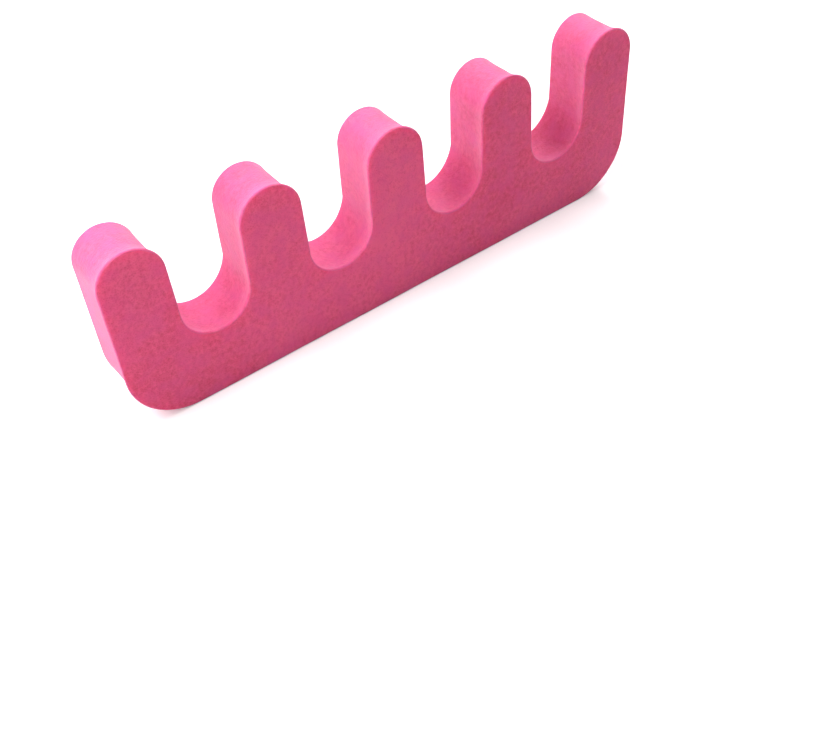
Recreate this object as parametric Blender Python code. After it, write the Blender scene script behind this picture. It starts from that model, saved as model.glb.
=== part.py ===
"""A toe separator: a comb of soft foam that holds the toes of one foot apart.

The comb is die-cut from one sheet of closed-cell foam, so it is a single solid with the same
wavy outline on both faces. Each finger has a round tip and each gap a round floor, and the
straight flanks between them touch both arcs. The cut walls aren't quite square: the front rim
stands out as a small lip, and the wall behind it keeps a little smaller than the front face.
The comb stands on its back edge, fingers up.

Units are metres. X runs along the comb, Y through the sheet and Z up the fingers. The origin
is the middle of the back edge.
"""

import math

import bmesh
import bpy

# The outline that the die cuts
FINGER_COUNT = 5
FINGER_WIDTH = 0.0095  # across the round tip
FINGER_LENGTH = 0.018  # from the floor of a gap to the tip
TOE_GAP = 0.0101  # across the round floor of a gap
FLANK_LEAN = math.radians(1.2)  # from upright, so that a finger is slimmer at its tip
SPINE_HEIGHT = 0.0105  # from the back edge to the floor of a gap
BACK_CORNER_RADIUS = 0.0092

# The sheet and its cut walls. Foam bulges under the die and springs back, so the walls end up
# hollow, and more so behind the face that the die leaves last.
SHEET_THICKNESS = 0.0082
FRONT_FLARE = 0.0005  # how far the front rim stands out from the waist of the wall
REAR_FLARE = 0.0001  # how far the rear rim does
FLARE_DEPTH = 0.0025  # from a rim to the waist
RIM_ROUND = 0.0003  # softened corner between a face and the cut walls

# How finely the curves are divided
ARC_STEP = math.radians(12)
ROUND_STEPS = 2
FLARE_STEPS = 5

FOAM_PINK = (0.89, 0.150, 0.345, 1.0)
FOAM_ROUGHNESS = 0.85

COMB_HEIGHT = SPINE_HEIGHT + FINGER_LENGTH
TIP_RADIUS = FINGER_WIDTH / 2
FLOOR_RADIUS = TOE_GAP / 2
TIP_CENTRE_HEIGHT = COMB_HEIGHT - TIP_RADIUS
FLOOR_CENTRE_HEIGHT = SPINE_HEIGHT + FLOOR_RADIUS


def finger_pitch():
    """The spacing at which the leaning flanks touch both the tip arcs and the floor arcs."""
    rise = TIP_CENTRE_HEIGHT - FLOOR_CENTRE_HEIGHT
    half_pitch = (TIP_RADIUS + FLOOR_RADIUS + rise * math.sin(FLANK_LEAN)) / math.cos(FLANK_LEAN)
    return 2 * half_pitch


def clear_scene():
    for obj in list(bpy.data.objects):
        bpy.data.objects.remove(obj, do_unlink=True)


def arc(centre_x, centre_z, radius, start, end, facing):
    """Points of an arc in the XZ plane, each with the direction that points out of the foam.

    facing is 1 where the foam is inside the arc, and -1 where it is outside. The number of
    steps is even, so that a round tip has a point at its top.
    """
    steps = 2 * math.ceil(abs(end - start) / ARC_STEP / 2)
    points = []
    for step in range(steps + 1):
        angle = start + (end - start) * step / steps
        across, up = math.cos(angle), math.sin(angle)
        place = (centre_x + radius * across, centre_z + radius * up)
        points.append((place, (facing * across, facing * up)))
    return points


def comb_outline():
    """The closed outline, anticlockwise from the left end of the back edge."""
    pitch = finger_pitch()
    last = FINGER_COUNT - 1
    end_finger = pitch * last / 2
    corner_x = end_finger + TIP_RADIUS - BACK_CORNER_RADIUS
    corner = (BACK_CORNER_RADIUS, BACK_CORNER_RADIUS)

    outline = arc(corner_x, *corner, -math.pi / 2, 0, 1)
    for finger in range(FINGER_COUNT):
        finger_x = end_finger - pitch * finger
        start = 0 if finger == 0 else FLANK_LEAN
        end = math.pi if finger == last else math.pi - FLANK_LEAN
        outline += arc(finger_x, TIP_CENTRE_HEIGHT, TIP_RADIUS, start, end, 1)
        if finger < last:
            gap_x = finger_x - pitch / 2
            start, end = -FLANK_LEAN, FLANK_LEAN - math.pi
            outline += arc(gap_x, FLOOR_CENTRE_HEIGHT, FLOOR_RADIUS, start, end, -1)
    outline += arc(-corner_x, *corner, math.pi, 3 * math.pi / 2, 1)
    return outline


def rim_rows(flare):
    """Rows from a face to the waist of the wall: depth below the face, rounding, setback.

    The setback is how far the wall lies inside the front outline.
    """
    rows = []
    for step in range(ROUND_STEPS + 1):
        angle = math.pi / 2 * step / ROUND_STEPS
        depth = RIM_ROUND * (1 - math.cos(angle))
        rows.append((depth, RIM_ROUND * (1 - math.sin(angle)), FRONT_FLARE - flare))
    for step in range(1, FLARE_STEPS + 1):
        share = step / FLARE_STEPS
        setback = FRONT_FLARE - flare * (1 - share) ** 2
        rows.append((RIM_ROUND + FLARE_DEPTH * share, 0.0, setback))
    return rows


def wall_rows():
    """Rows of the cut wall from the front face to the rear: place in Y, rounding, setback."""
    half = SHEET_THICKNESS / 2
    front = [(depth - half, *insets) for depth, *insets in rim_rows(FRONT_FLARE)]
    rear = [(half - depth, *insets) for depth, *insets in reversed(rim_rows(REAR_FLARE))]
    return front + rear


def row_points(outline, y, rounding, setback):
    """One row around the comb. The setback fades out round the back corners, so that the back
    edge is flat and the comb stands on it."""
    points = []
    for (x, z), (out_x, out_z) in outline:
        downward = max(0.0, -out_z)
        inset = rounding + setback * (1 - downward**2)
        points.append((x - out_x * inset, y, z - out_z * inset))
    return points


def build_comb():
    outline = comb_outline()
    shape = bmesh.new()
    rows = []
    for y, rounding, setback in wall_rows():
        points = row_points(outline, y, rounding, setback)
        rows.append([shape.verts.new(point) for point in points])
    for near, far in zip(rows, rows[1:]):
        for index in range(len(near)):
            after = (index + 1) % len(near)
            shape.faces.new((near[index], near[after], far[after], far[index]))
    shape.faces.new(list(reversed(rows[0])))
    shape.faces.new(rows[-1])
    bmesh.ops.recalc_face_normals(shape, faces=shape.faces)

    mesh = bpy.data.meshes.new("foam_comb")
    shape.to_mesh(mesh)
    shape.free()
    mesh.shade_smooth()
    mesh.set_sharp_from_angle(angle=math.radians(40))
    comb = bpy.data.objects.new("foam_comb", mesh)
    bpy.context.scene.collection.objects.link(comb)
    return comb


def foam_material():
    material = bpy.data.materials.new("pink_foam")
    material.use_nodes = True
    shader = material.node_tree.nodes["Principled BSDF"]
    shader.inputs["Base Color"].default_value = FOAM_PINK
    shader.inputs["Roughness"].default_value = FOAM_ROUGHNESS
    shader.inputs["Metallic"].default_value = 0.0
    return material


def main():
    clear_scene()
    comb = build_comb()
    comb.data.materials.append(foam_material())


main()
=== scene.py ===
"""Toe separator: a comb of pink closed-cell foam, standing on a plain white stage.

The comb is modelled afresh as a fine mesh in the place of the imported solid: two sawn faces of
the foam sheet, and the hollow walls and soft rims that a cutting die leaves between them.
"""

import math
import random

import bmesh
import bpy
from mathutils import Euler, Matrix, Vector, geometry, kdtree, noise


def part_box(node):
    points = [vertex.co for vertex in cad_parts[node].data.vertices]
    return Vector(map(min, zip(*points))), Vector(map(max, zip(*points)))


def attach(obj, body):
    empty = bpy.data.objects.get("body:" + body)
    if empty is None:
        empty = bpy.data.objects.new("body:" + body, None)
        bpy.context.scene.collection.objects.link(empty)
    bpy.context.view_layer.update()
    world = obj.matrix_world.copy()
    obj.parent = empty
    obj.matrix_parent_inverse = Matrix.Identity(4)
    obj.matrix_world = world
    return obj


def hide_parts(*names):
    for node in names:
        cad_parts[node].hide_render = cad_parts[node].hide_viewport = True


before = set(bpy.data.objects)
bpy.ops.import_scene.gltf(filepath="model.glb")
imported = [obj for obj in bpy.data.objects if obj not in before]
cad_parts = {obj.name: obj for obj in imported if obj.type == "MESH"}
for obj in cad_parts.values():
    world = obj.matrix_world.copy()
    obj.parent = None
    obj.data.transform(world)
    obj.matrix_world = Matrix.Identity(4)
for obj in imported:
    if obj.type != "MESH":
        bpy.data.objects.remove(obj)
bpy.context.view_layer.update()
comb_low, comb_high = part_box("foam_comb")
comb_extent = comb_high - comb_low

bl_info = {
    "name": "Foam Toe Separator",
    "version": (1, 0, 0),
    "blender": (4, 5, 0),
    "location": "3D View > Sidebar > Toe Separator",
    "description": "Builds a die-cut foam toe separator and a plain stage for it",
    "category": "Add Mesh",
}

FINGER_COUNT = 5
ROUND_STEPS = 4  # in the rounding of a rim


class CombSizes(bpy.types.PropertyGroup):
    """Sizes of the comb's outline and of the walls that the die cuts."""

    length: bpy.props.FloatProperty(
        name="Length",
        description="From the outer side of the first finger to that of the last",
        default=comb_extent.x,
        unit="LENGTH",
    )
    height: bpy.props.FloatProperty(
        name="Height",
        description="From the back edge to the finger tips",
        default=comb_extent.z,
        unit="LENGTH",
    )
    thickness: bpy.props.FloatProperty(
        name="Thickness",
        description="Thickness of the foam sheet",
        default=comb_extent.y,
        unit="LENGTH",
    )
    finger_width: bpy.props.FloatProperty(
        name="Finger width",
        description="Across the round tip of a finger",
        default=0.0095,
        unit="LENGTH",
    )
    flank_lean: bpy.props.FloatProperty(
        name="Flank lean",
        description="How far a finger's flanks lean from upright, slimmer at the tip",
        default=math.radians(1.2),
        unit="ROTATION",
    )
    spine_height: bpy.props.FloatProperty(
        name="Spine height",
        description="From the back edge to the floor of a gap",
        default=0.0105,
        unit="LENGTH",
    )
    corner_radius: bpy.props.FloatProperty(
        name="Back corner radius",
        description="Radius of the two corners at the ends of the back edge",
        default=0.0092,
        unit="LENGTH",
    )
    front_flare: bpy.props.FloatProperty(
        name="Front flare",
        description="How far the front rim stands out from the waist of the cut walls",
        default=0.0005,
        unit="LENGTH",
    )
    rear_flare: bpy.props.FloatProperty(
        name="Rear flare",
        description="How far the rear rim stands out from the waist of the cut walls",
        default=0.0001,
        unit="LENGTH",
    )
    flare_depth: bpy.props.FloatProperty(
        name="Flare depth",
        description="From a rim to the waist",
        default=0.0025,
        unit="LENGTH",
    )
    floor_rise: bpy.props.FloatProperty(
        name="Floor rise",
        description="How far the floor of a gap rises from the waist of its wall to the rear rim",
        default=0.0005,
        unit="LENGTH",
    )
    rim_round: bpy.props.FloatProperty(
        name="Rim round",
        description="Radius of the soft rim between a face and the cut walls",
        default=0.0003,
        unit="LENGTH",
    )
    mesh_spacing: bpy.props.FloatProperty(
        name="Mesh spacing",
        description="Distance between neighbouring points of the mesh",
        default=0.00031,
        unit="LENGTH",
    )


class FoamLook(bpy.types.PropertyGroup):
    """Colours and grain of the foam, and the painted light and shade that the colours carry."""

    pink: bpy.props.FloatVectorProperty(
        name="Pink",
        description="Main colour of the foam",
        default=(0.98, 0.127, 0.292),
        subtype="COLOR",
    )
    # deep_pink is the dark end of the blend: the foam's own mottle, and the painted shade in the
    # cells' hollows and in the darker clouds.
    deep_pink: bpy.props.FloatVectorProperty(
        name="Deep pink",
        description="Colour inside the cells and in the darker clouds of the dye",
        default=(0.76, 0.065, 0.178),
        subtype="COLOR",
    )
    cool_pink: bpy.props.FloatVectorProperty(
        name="Cool pink",
        description="Colour of the patches where the dye took a little bluer",
        default=(0.88, 0.102, 0.310),
        subtype="COLOR",
    )
    # Partly the paler torn cells of a cut, partly painted light: the paler, less red pink that
    # the brightly lit walls show beside the darker sawn face.
    cut_and_lit_tint: bpy.props.FloatVectorProperty(
        name="Cut tint",
        description="What the cut walls make of the pinks: their torn cells look a little paler",
        default=(0.87, 1.12, 1.11),
        subtype="XYZ",
    )
    # The clouds are painted light and shade: broad lighter and darker patches in the pinks, slid
    # along the comb so that they fall where a slightly bowed face catches more and less light.
    shade_cloud_scale: bpy.props.FloatProperty(
        name="Cloud scale",
        description="How many of the dye's soft clouds go into a metre",
        default=40.0,
    )
    shade_cloud_shift: bpy.props.FloatProperty(
        name="Cloud shift",
        description="Slides the clouds along the comb",
        default=5.92,
        unit="LENGTH",
    )
    shade_cloud_contrast: bpy.props.FloatProperty(
        name="Cloud contrast",
        description="How strongly the clouds swing between the two main pinks",
        default=1.9,
    )
    patch_scale: bpy.props.FloatProperty(
        name="Patch scale",
        description="How many of the bluer patches go into a metre",
        default=420.0,
    )
    patch_start: bpy.props.FloatProperty(
        name="Patch start",
        description="Level of the patches' noise from which the dye turns bluer",
        default=0.38,
    )
    patch_contrast: bpy.props.FloatProperty(
        name="Patch contrast",
        description="How quickly the dye turns bluer above that level",
        default=1.6,
    )
    mottle_scale: bpy.props.FloatProperty(
        name="Mottle scale",
        description="How many of the fine mottles go into a metre",
        default=1500.0,
    )
    mottle_contrast: bpy.props.FloatProperty(
        name="Mottle contrast",
        description="How strongly the mottles swing between the two main pinks",
        default=2.0,
    )
    cell_size: bpy.props.FloatProperty(
        name="Cell size",
        description="Width of one foam cell where the blade has opened it",
        default=0.00028,
        unit="LENGTH",
    )
    cell_reach: bpy.props.FloatProperty(
        name="Cell reach",
        description="From the middle of a cell to the top of its wall, in cell sizes",
        default=0.62,
    )
    cell_depth: bpy.props.FloatProperty(
        name="Cell depth",
        description="Depth of an opened cell",
        default=0.00004,
        unit="LENGTH",
    )
    # Painted shade: the hollow of each opened cell is coloured darker.
    cell_shade_contrast: bpy.props.FloatProperty(
        name="Cell contrast",
        description="How much darker the dye looks inside an opened cell",
        default=0.5,
    )
    grain_depth: bpy.props.FloatProperty(
        name="Grain depth",
        description="Depth of the fine grain that the saw and the die leave",
        default=0.00005,
        unit="LENGTH",
    )
    pebble_length: bpy.props.FloatProperty(
        name="Pebble length",
        description="Width of one pebble of the sawn and cut surfaces",
        default=0.0011,
        unit="LENGTH",
    )
    pebble_depth: bpy.props.FloatProperty(
        name="Pebble depth",
        description="Depth of the pebbles, which are in the mesh",
        default=0.00002,
        unit="LENGTH",
    )
    swell_length: bpy.props.FloatProperty(
        name="Swell length",
        description="Width of one slow wave of the sheet",
        default=0.011,
        unit="LENGTH",
    )
    swell_depth: bpy.props.FloatProperty(
        name="Swell depth",
        description="Depth of the slow waves that a soft sheet keeps after sawing",
        default=0.00008,
        unit="LENGTH",
    )
    roughness: bpy.props.FloatProperty(
        name="Roughness",
        description="Roughness of the foam where its mottles are darkest",
        default=0.66,
    )
    roughness_swing: bpy.props.FloatProperty(
        name="Roughness swing",
        description="How much rougher the foam gets as the mottles brighten",
        default=0.16,
    )
    light_depth: bpy.props.FloatProperty(
        name="Light depth",
        description="How deep the light soaks into the foam",
        default=0.0012,
        unit="LENGTH",
    )


class StageLook(bpy.types.PropertyGroup):
    """The floor, the lamps' powers and the camera's place."""

    floor_size: bpy.props.FloatProperty(
        name="Floor size",
        description="Side of the square floor",
        default=4.0,
        unit="LENGTH",
    )
    glow_start: bpy.props.FloatProperty(
        name="Glow start",
        description="How far from the comb the white floor's own glow starts to rise",
        default=0.14,
        unit="LENGTH",
    )
    glow_rise: bpy.props.FloatProperty(
        name="Glow rise",
        description="How much of the way to white the glow rises in each metre beyond that",
        default=3.0,
    )
    side_power: bpy.props.FloatProperty(
        name="Side lamp",
        description="Power of the soft lamp above the left end of the comb",
        default=0.25,
        unit="POWER",
    )
    low_power: bpy.props.FloatProperty(
        name="Low lamp",
        description="Power of the soft lamp level with the left end of the comb",
        default=0.165,
        unit="POWER",
    )
    top_power: bpy.props.FloatProperty(
        name="Top lamp",
        description="Power of the soft lamp over the left half of the comb",
        default=0.2375,
        unit="POWER",
    )
    back_power: bpy.props.FloatProperty(
        name="Back lamp",
        description="Power of the soft lamp high up behind the comb",
        default=4.5,
        unit="POWER",
    )
    end_power: bpy.props.FloatProperty(
        name="End lamp",
        description="Power of the soft lamp high up past the right end of the comb",
        default=1.26,
        unit="POWER",
    )
    front_power: bpy.props.FloatProperty(
        name="Front lamp",
        description="Power of the large soft lamp in front of the comb",
        default=1.74,
        unit="POWER",
    )
    room_light: bpy.props.FloatProperty(
        name="Room light",
        description="Strength of the even light from all around",
        default=0.04,
    )
    camera_place: bpy.props.FloatVectorProperty(
        name="Camera place",
        description="Where the camera stands",
        default=(-0.06996, -0.10805, 0.10667),
        subtype="XYZ",
        unit="LENGTH",
    )
    camera_turn: bpy.props.FloatVectorProperty(
        name="Camera turn",
        description="How the camera is turned, as Euler angles",
        default=tuple(math.radians(angle) for angle in (45.059, 3.065, -37.271)),
        subtype="EULER",
        unit="ROTATION",
    )
    focal_length: bpy.props.FloatProperty(
        name="Focal length",
        description="Focal length on a 36 mm wide sensor, in millimetres",
        default=46.74,
        unit="CAMERA",
    )


class Wire:
    """An output of a shader node. Sums written with it add their Math nodes."""

    def __init__(self, tree, socket=None):
        self.tree = tree
        self.socket = socket

    def node(self, kind, settings=None, output=0, **values):
        """Adds a node of any type: its settings first, then its sockets' values or links.

        A socket is named in lower case with _ for a space, and a colour ramp takes its stops.
        """
        node = self.tree.nodes.new(kind)
        for setting, value in (settings or {}).items():
            if setting == "stops":
                set_ramp(node.color_ramp, value)
            else:
                setattr(node, setting, value)
        for name, value in values.items():
            socket = open_socket(node, name)
            if isinstance(value, Wire):
                self.tree.links.new(value.socket, socket)
            else:
                socket.default_value = value
        outputs = [each for each in node.outputs if each.enabled]
        found = outputs[output] if isinstance(output, int) else node.outputs[output]
        return Wire(self.tree, found)

    def math_node(self, operation, first, second):
        node = self.tree.nodes.new("ShaderNodeMath")
        node.operation = operation
        for socket, value in zip(node.inputs, (first, second)):
            if isinstance(value, Wire):
                self.tree.links.new(value.socket, socket)
            else:
                socket.default_value = value
        return Wire(self.tree, node.outputs[0])

    def blend(self, factor, first, second):
        """Mixes two colours, each a triple or a Wire. The factor is kept between 0 and 1."""
        ends = [end if isinstance(end, Wire) else (*end, 1.0) for end in (first, second)]
        settings = {"data_type": "RGBA", "clamp_factor": True}
        return self.node("ShaderNodeMix", settings, factor=factor, a=ends[0], b=ends[1])

    def tinted(self, colour, tint):
        """Multiplies a colour by three factors."""
        node = self.tree.nodes.new("ShaderNodeVectorMath")
        node.operation = "MULTIPLY"
        self.tree.links.new(colour.socket, node.inputs[0])
        node.inputs[1].default_value = tint
        return Wire(self.tree, node.outputs[0])

    def __add__(self, other):
        return self.math_node("ADD", self, other)

    def __radd__(self, other):
        return self.math_node("ADD", other, self)

    def __sub__(self, other):
        return self.math_node("SUBTRACT", self, other)

    def __rsub__(self, other):
        return self.math_node("SUBTRACT", other, self)

    def __mul__(self, other):
        return self.math_node("MULTIPLY", self, other)

    def __rmul__(self, other):
        return self.math_node("MULTIPLY", other, self)


def set_ramp(ramp, stops):
    while len(ramp.elements) < len(stops):
        ramp.elements.new(1.0)
    for element, (position, level) in zip(ramp.elements, stops):
        element.position = position
        element.color = (level, level, level, 1.0)


def open_socket(node, name):
    """The enabled input with that name, written in lower case with _ for a space."""
    for socket in node.inputs:
        if socket.enabled and socket.name.lower().replace(" ", "_") == name:
            return socket
    raise KeyError(f"{node.bl_idname} has no open input named {name}")


def new_material(name):
    """A material with its Principled shader, and a Wire to add nodes with."""
    material = bpy.data.materials.new(name)
    material.use_nodes = True
    return material, Wire(material.node_tree), material.node_tree.nodes["Principled BSDF"]


def connect(wire, node, name):
    wire.tree.links.new(wire.socket, open_socket(node, name))


def foam_material(name, look, tint, grain, fuzz):
    """Foam with opened cells. grain is the contrast of the mottled dye and of the painted shade
    in the cells' hollows, and fuzz the pale veil that torn cell walls leave over a cut. The broad
    clouds are painted light and shade, placed where a slightly bowed face catches more and less
    light."""
    material, wire, shader = new_material(name)
    place = wire.node("ShaderNodeTexCoord", output="Object")
    # Painted light and shade: the broad clouds, slid along the comb to where a bowed face is lit
    # more and less.
    shift = (look.shade_cloud_shift, 0.0, 0.0)
    shifted = wire.node("ShaderNodeMapping", vector=place, location=shift)
    clouds = wire.node("ShaderNodeTexNoise", vector=shifted, scale=look.shade_cloud_scale, detail=2.0)
    patches = wire.node("ShaderNodeTexNoise", vector=place, scale=look.patch_scale, detail=1.0)
    mottle = wire.node("ShaderNodeTexNoise", vector=place, scale=look.mottle_scale, detail=3.0)
    cells = wire.node("ShaderNodeTexVoronoi", vector=place, scale=1 / look.cell_size)
    stops = ((0.0, 0.0), (look.cell_reach, 1.0))
    ramped = wire.node("ShaderNodeValToRGB", {"stops": stops}, fac=cells)
    opened = wire.node("ShaderNodeSeparateColor", color=ramped)

    # fine holds the foam's own mottle and the painted shade in each opened cell's hollow; shade
    # adds the painted light and shade of the broad clouds.
    fine = (mottle - 0.5) * look.mottle_contrast + (opened - 0.5) * look.cell_shade_contrast
    shade = 0.5 + (clouds - 0.5) * look.shade_cloud_contrast + fine * grain
    colour = wire.blend(shade, look.deep_pink, look.pink)
    cooler = (patches - look.patch_start) * look.patch_contrast
    colour = wire.blend(cooler, colour, look.cool_pink)
    colour = wire.tinted(colour, tint)
    connect(colour, shader, "base_color")
    connect(look.roughness + mottle * look.roughness_swing, shader, "roughness")

    height = opened * look.cell_depth + mottle * look.grain_depth
    bump = wire.node("ShaderNodeBump", height=height, distance=1.0, strength=1.0)
    connect(bump, shader, "normal")

    shader.inputs["Subsurface Weight"].default_value = 0.7
    shader.inputs["Subsurface Radius"].default_value = (1.0, 0.25, 0.4)
    shader.inputs["Subsurface Scale"].default_value = look.light_depth
    shader.inputs["Sheen Weight"].default_value = fuzz
    shader.inputs["Sheen Roughness"].default_value = 0.55
    shader.inputs["IOR"].default_value = 1.36
    return material


def arc(centre, radius, start, end, facing, spacing):
    """Points of an arc in the XZ plane, each with the direction that points out of the foam.

    facing is 1 where the foam is inside the arc, and -1 where it is outside. The number of
    steps is even, so that a round tip has a point at its top.
    """
    steps = 2 * math.ceil(abs(end - start) * radius / spacing / 2)
    points = []
    for step in range(steps + 1):
        angle = start + (end - start) * step / steps
        direction = Vector((math.cos(angle), math.sin(angle)))
        points.append((centre + direction * radius, direction * facing))
    return points


def comb_outline(sizes):
    """The closed outline, anticlockwise from the right end of the back edge.

    The radius of a gap's floor is the one that both leaning flanks touch.
    """
    tip_radius = sizes.finger_width / 2
    tip_centre = sizes.height - tip_radius
    pitch = (sizes.length - sizes.finger_width) / (FINGER_COUNT - 1)
    lean = sizes.flank_lean
    reach = pitch / 2 * math.cos(lean) - (tip_centre - sizes.spine_height) * math.sin(lean)
    floor_radius = (reach - tip_radius) / (1 - math.sin(lean))
    floor_centre = sizes.spine_height + floor_radius
    corner = sizes.corner_radius
    corner_x = sizes.length / 2 - corner
    spacing = sizes.mesh_spacing

    outline = arc(Vector((corner_x, corner)), corner, -math.pi / 2, 0, 1, spacing)
    for finger in range(FINGER_COUNT):
        is_last = finger == FINGER_COUNT - 1
        finger_x = pitch * ((FINGER_COUNT - 1) / 2 - finger)
        start = lean if finger else 0
        end = math.pi if is_last else math.pi - lean
        outline += arc(Vector((finger_x, tip_centre)), tip_radius, start, end, 1, spacing)
        if not is_last:
            floor = Vector((finger_x - pitch / 2, floor_centre))
            outline += arc(floor, floor_radius, -lean, lean - math.pi, -1, spacing)
    outline += arc(Vector((-corner_x, corner)), corner, math.pi, 1.5 * math.pi, 1, spacing)
    return fill_straights(outline, spacing)


def fill_straights(outline, spacing):
    """Adds points along the straight stretches between the arcs."""
    filled = []
    for (here, outward), (there, _) in zip(outline, outline[1:] + outline[:1]):
        filled.append((here, outward))
        steps = round((there - here).length / spacing)
        for step in range(1, steps):
            filled.append((here.lerp(there, step / steps), outward))
    return filled


def rim_rows(sizes, flare):
    """Rows from a face to the middle of the wall: depth below the face, rounding, setback.

    The setback is how far the wall lies inside the front outline.
    """
    rows = []
    for step in range(ROUND_STEPS + 1):
        angle = math.pi / 2 * step / ROUND_STEPS
        depth = sizes.rim_round * (1 - math.cos(angle))
        rounding = sizes.rim_round * (1 - math.sin(angle))
        rows.append((depth, rounding, sizes.front_flare - flare))
    inner = sizes.thickness / 2 - sizes.rim_round
    steps = math.ceil(inner / sizes.mesh_spacing)
    for step in range(1, steps + 1):
        depth = inner * step / steps
        share = min(1.0, depth / sizes.flare_depth)
        rows.append((sizes.rim_round + depth, 0.0, sizes.front_flare - flare * (1 - share) ** 2))
    return rows


def wall_rows(sizes):
    """Rows of the cut wall from the front face to the rear: place in Y, rounding, setback."""
    half = sizes.thickness / 2
    front = [(depth - half, *rest) for depth, *rest in rim_rows(sizes, sizes.front_flare)]
    rear = [(half - depth, *rest) for depth, *rest in rim_rows(sizes, sizes.rear_flare)]
    return front + rear[-2::-1]


def floor_share(place, outward, sizes):
    """How much a point belongs to the floor of a gap: 0 on the flanks and 1 at the bottom."""
    if place.y > (sizes.spine_height + sizes.height) / 2:
        return 0.0
    upward = max(0.0, outward.y - math.sin(sizes.flank_lean))
    return 1 - (1 - upward) ** 2


def row_points(outline, sizes, y, rounding, setback):
    """One row around the comb. The setback fades out round the back corners, because the comb
    stands on a flat back edge, and the floors of the gaps rise from the waist to the rear rim."""
    behind_waist = max(0.0, y + sizes.thickness / 2 - sizes.flare_depth)
    rise = sizes.floor_rise * (behind_waist / (sizes.thickness - sizes.flare_depth)) ** 2
    points = []
    for place, outward in outline:
        downward = max(0.0, -outward.y)
        inset = rounding + setback * (1 - downward**2)
        inset -= rise * floor_share(place, outward, sizes)
        moved = place - outward * inset
        points.append(Vector((moved.x, y, moved.y)))
    return points


def face_points(ring, spacing, seed):
    """Points spread over a face, a little out of line, so that the mesh shows no pattern."""
    scatter = random.Random(seed)
    tree = kdtree.KDTree(len(ring))
    for index, (x, z) in enumerate(ring):
        tree.insert((x, z, 0.0), index)
    tree.balance()
    low_z, high_z = min(z for _, z in ring), max(z for _, z in ring)
    jitter = 0.2 * spacing
    margin = 0.7 * spacing
    row_step = spacing * math.sqrt(0.75)
    points = []
    for row in range(1, int((high_z - low_z) / row_step)):
        z = low_z + row * row_step
        crossings = ring_crossings(ring, z)
        for start, end in zip(crossings[::2], crossings[1::2]):
            for column in range(1, int((end - start) / spacing)):
                x = start + (column + 0.5 * (row % 2)) * spacing
                spot_x = x + scatter.uniform(-jitter, jitter)
                spot_z = z + scatter.uniform(-jitter, jitter)
                _, _, distance = tree.find((spot_x, spot_z, 0.0))
                if distance > margin:
                    points.append((spot_x, spot_z))
    return points


def ring_crossings(ring, z):
    """Where the ring crosses a level line, from left to right."""
    crossings = []
    for (ax, az), (bx, bz) in zip(ring, ring[1:] + ring[:1]):
        if (az > z) != (bz > z):
            crossings.append(ax + (z - az) * (bx - ax) / (bz - az))
    return sorted(crossings)


def fill_face(shape, ring_verts, spacing, seed):
    """Closes one side of the comb with an even mesh of triangles."""
    ring = [(vert.co.x, vert.co.z) for vert in ring_verts]
    inner = face_points(ring, spacing, seed)
    y = ring_verts[0].co.y
    flat = [Vector(point) for point in ring + inner]
    edges = [(index, (index + 1) % len(ring)) for index in range(len(ring))]
    inside_only = 1
    merge_distance = 1e-9
    filled = geometry.delaunay_2d_cdt(flat, edges, [], inside_only, merge_distance)
    _, _, triangles, origins, _, _ = filled
    verts = ring_verts + [shape.verts.new((x, y, z)) for x, z in inner]
    for triangle in triangles:
        shape.faces.new([verts[origins[index][0]] for index in triangle])


def sink(shape, look):
    """Sinks each point into the foam a little: slow waves of the sheet, and its pebbles. The
    back edge stays flat."""
    shape.normal_update()
    pebble_shift = Vector((7.0, 3.0, 5.0))
    moves = []
    for vert in shape.verts:
        swell = 0.5 + 0.5 * noise.noise(vert.co / look.swell_length)
        pebble = 0.5 + 0.5 * noise.noise(vert.co / look.pebble_length + pebble_shift)
        depth = swell * look.swell_depth + pebble * look.pebble_depth
        standing = max(0.0, -vert.normal.z) ** 4
        moves.append(vert.normal * depth * (1 - standing))
    for vert, move in zip(shape.verts, moves):
        vert.co -= move


def build_comb(sizes, look):
    outline = comb_outline(sizes)
    shape = bmesh.new()
    rows = []
    for y, rounding, setback in wall_rows(sizes):
        points = row_points(outline, sizes, y, rounding, setback)
        rows.append([shape.verts.new(point) for point in points])
    for near, far in zip(rows, rows[1:]):
        for index in range(len(near)):
            after = (index + 1) % len(near)
            wall = shape.faces.new((near[index], near[after], far[after], far[index]))
            wall.material_index = 1
    fill_face(shape, rows[0], sizes.mesh_spacing, seed=11)
    fill_face(shape, rows[-1], sizes.mesh_spacing, seed=12)
    bmesh.ops.recalc_face_normals(shape, faces=shape.faces)
    sink(shape, look)
    mesh = bpy.data.meshes.new("die_cut_comb")
    shape.to_mesh(mesh)
    shape.free()
    mesh.shade_smooth()
    comb = bpy.data.objects.new("die_cut_comb", mesh)
    bpy.context.scene.collection.objects.link(comb)
    return comb


class TOESEP_OT_comb(bpy.types.Operator):
    """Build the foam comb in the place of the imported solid"""

    bl_idname = "toesep.comb"
    bl_label = "Foam Comb"

    def execute(self, context):
        sizes = context.scene.toesep_sizes
        look = context.scene.toesep_foam
        comb = build_comb(sizes, look)
        sawn = foam_material("sawn_foam", look, tint=(1, 1, 1), grain=1.0, fuzz=0.1)
        # The cut walls take the paler tint: partly their torn cells, partly painted light of the
        # brightly lit walls.
        cut = foam_material("cut_foam", look, tint=look.cut_and_lit_tint, grain=0.7, fuzz=0.22)
        comb.data.materials.append(sawn)
        comb.data.materials.append(cut)
        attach(comb, "root")
        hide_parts("foam_comb")
        return {"FINISHED"}


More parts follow.
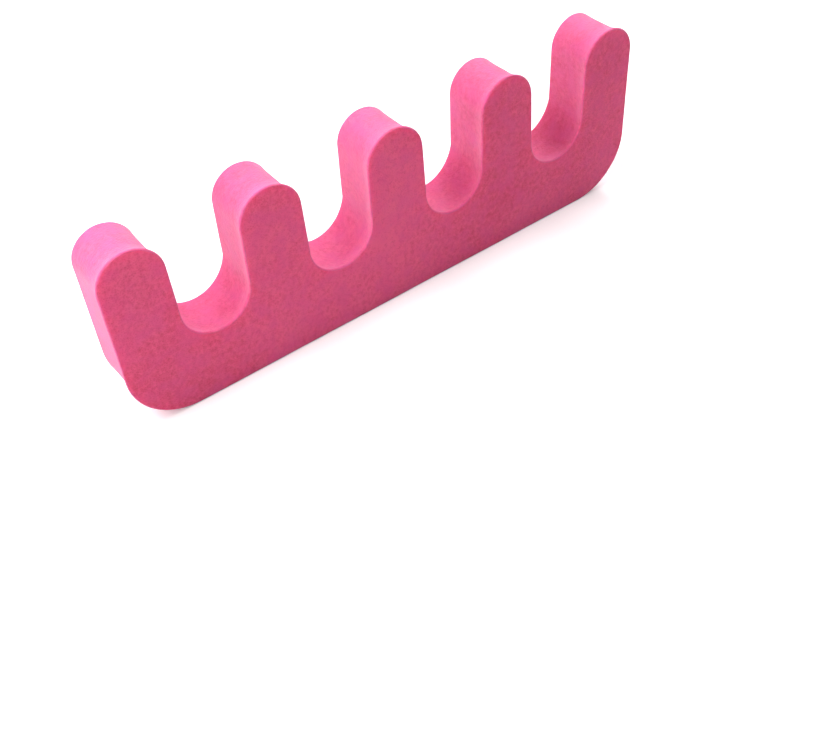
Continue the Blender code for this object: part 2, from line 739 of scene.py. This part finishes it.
def floor_material(stage):
    """White to the camera, and a light grey for the light that it throws back at the comb. The
    camera sees a faint glow in it too, which rises to white where the lamps don't reach."""
    material, wire, shader = new_material("white_floor")
    seen = wire.node("ShaderNodeLightPath", output="Is Camera Ray")
    place = wire.node("ShaderNodeTexCoord", output="Object")
    distance = wire.node("ShaderNodeVectorMath", {"operation": "LENGTH"}, "Value", vector=place)
    faded = (distance - stage.glow_start) * stage.glow_rise
    fade = wire.blend(faded, (0.25, 0.25, 0.25), (1.0, 1.0, 1.0))
    tone = wire.blend(seen, (0.75, 0.75, 0.75), (0.95, 0.95, 0.95))
    glow = wire.blend(seen, (0.0, 0.0, 0.0), fade)
    connect(tone, shader, "base_color")
    connect(glow, shader, "emission_color")
    shader.inputs["Emission Strength"].default_value = 1.0
    shader.inputs["Roughness"].default_value = 0.9
    shader.inputs["Specular IOR Level"].default_value = 0.0
    return material


def build_floor(stage):
    shape = bmesh.new()
    bmesh.ops.create_grid(shape, x_segments=1, y_segments=1, size=stage.floor_size / 2)
    mesh = bpy.data.meshes.new("floor")
    shape.to_mesh(mesh)
    shape.free()
    floor = bpy.data.objects.new("floor", mesh)
    bpy.context.scene.collection.objects.link(floor)
    mesh.materials.append(floor_material(stage))


def build_world(strength):
    """Even light from all around, and plain white where the camera sees past the floor."""
    world = bpy.data.worlds.new("white_room")
    world.use_nodes = True
    wire = Wire(world.node_tree)
    background = world.node_tree.nodes["Background"]
    seen = wire.node("ShaderNodeLightPath", output="Is Camera Ray")
    connect(strength + seen * (1.0 - strength), background, "strength")
    background.inputs["Color"].default_value = (1.0, 1.0, 1.0, 1.0)
    bpy.context.scene.world = world


def build_lamp(name, place, size, power):
    """A round soft lamp that points at the middle of the comb."""
    lamp = bpy.data.lights.new(name, "AREA")
    lamp.shape = "DISK"
    lamp.size = size
    lamp.energy = power
    holder = bpy.data.objects.new(name, lamp)
    holder.location = place
    aim = Vector((0.0, 0.0, comb_extent.z / 2)) - holder.location
    holder.rotation_euler = aim.to_track_quat("-Z", "Y").to_euler()
    bpy.context.scene.collection.objects.link(holder)


def build_camera(stage):
    camera = bpy.data.cameras.new("camera")
    camera.sensor_fit = "HORIZONTAL"
    camera.sensor_width = 36.0
    camera.lens = stage.focal_length
    camera.clip_start = 0.005
    camera.clip_end = 20.0
    holder = bpy.data.objects.new("camera", camera)
    holder.location = stage.camera_place
    holder.rotation_euler = Euler(stage.camera_turn)
    bpy.context.scene.collection.objects.link(holder)
    bpy.context.scene.camera = holder


class TOESEP_OT_stage(bpy.types.Operator):
    """Set up the white floor, the soft light and the camera"""

    bl_idname = "toesep.stage"
    bl_label = "Stage"

    def execute(self, context):
        stage = context.scene.toesep_stage
        build_floor(stage)
        build_world(stage.room_light)
        build_lamp("side_lamp", place=(-0.129, 0.0, 0.167), size=0.12, power=stage.side_power)
        build_lamp("low_lamp", place=(-0.235, 0.0, 0.064), size=0.12, power=stage.low_power)
        build_lamp("top_lamp", place=(-0.073, 0.020, 0.221), size=0.14, power=stage.top_power)
        build_lamp("back_lamp", place=(0.336, 0.479, 0.560), size=0.48, power=stage.back_power)
        build_lamp("end_lamp", place=(0.483, 0.176, 0.627), size=0.48, power=stage.end_power)
        build_lamp("front_lamp", place=(0.430, -0.560, 0.780), size=0.60, power=stage.front_power)
        build_camera(stage)
        context.scene.view_settings.view_transform = "Standard"
        return {"FINISHED"}


class TOESEP_PT_sidebar(bpy.types.Panel):
    """Lists the pieces and their settings in the sidebar"""

    bl_idname = "TOESEP_PT_sidebar"
    bl_label = "Toe Separator"
    bl_space_type = "VIEW_3D"
    bl_region_type = "UI"
    bl_category = "Toe Separator"

    def draw(self, context):
        scene = context.scene
        for operator, settings in (
            (TOESEP_OT_comb, (scene.toesep_sizes, scene.toesep_foam)),
            (TOESEP_OT_stage, (scene.toesep_stage,)),
        ):
            box = self.layout.box()
            for group in settings:
                for name in group.bl_rna.properties.keys():
                    if name not in ("rna_type", "name"):
                        box.prop(group, name)
            box.operator(operator.bl_idname)


CLASSES = (
    CombSizes,
    FoamLook,
    StageLook,
    TOESEP_OT_comb,
    TOESEP_OT_stage,
    TOESEP_PT_sidebar,
)


def register():
    for each in CLASSES:
        bpy.utils.register_class(each)
    bpy.types.Scene.toesep_sizes = bpy.props.PointerProperty(type=CombSizes)
    bpy.types.Scene.toesep_foam = bpy.props.PointerProperty(type=FoamLook)
    bpy.types.Scene.toesep_stage = bpy.props.PointerProperty(type=StageLook)


def unregister():
    del bpy.types.Scene.toesep_sizes
    del bpy.types.Scene.toesep_foam
    del bpy.types.Scene.toesep_stage
    for each in reversed(CLASSES):
        bpy.utils.unregister_class(each)


def main():
    register()
    bpy.ops.toesep.comb()
    bpy.ops.toesep.stage()


if __name__ == "__main__":
    main()
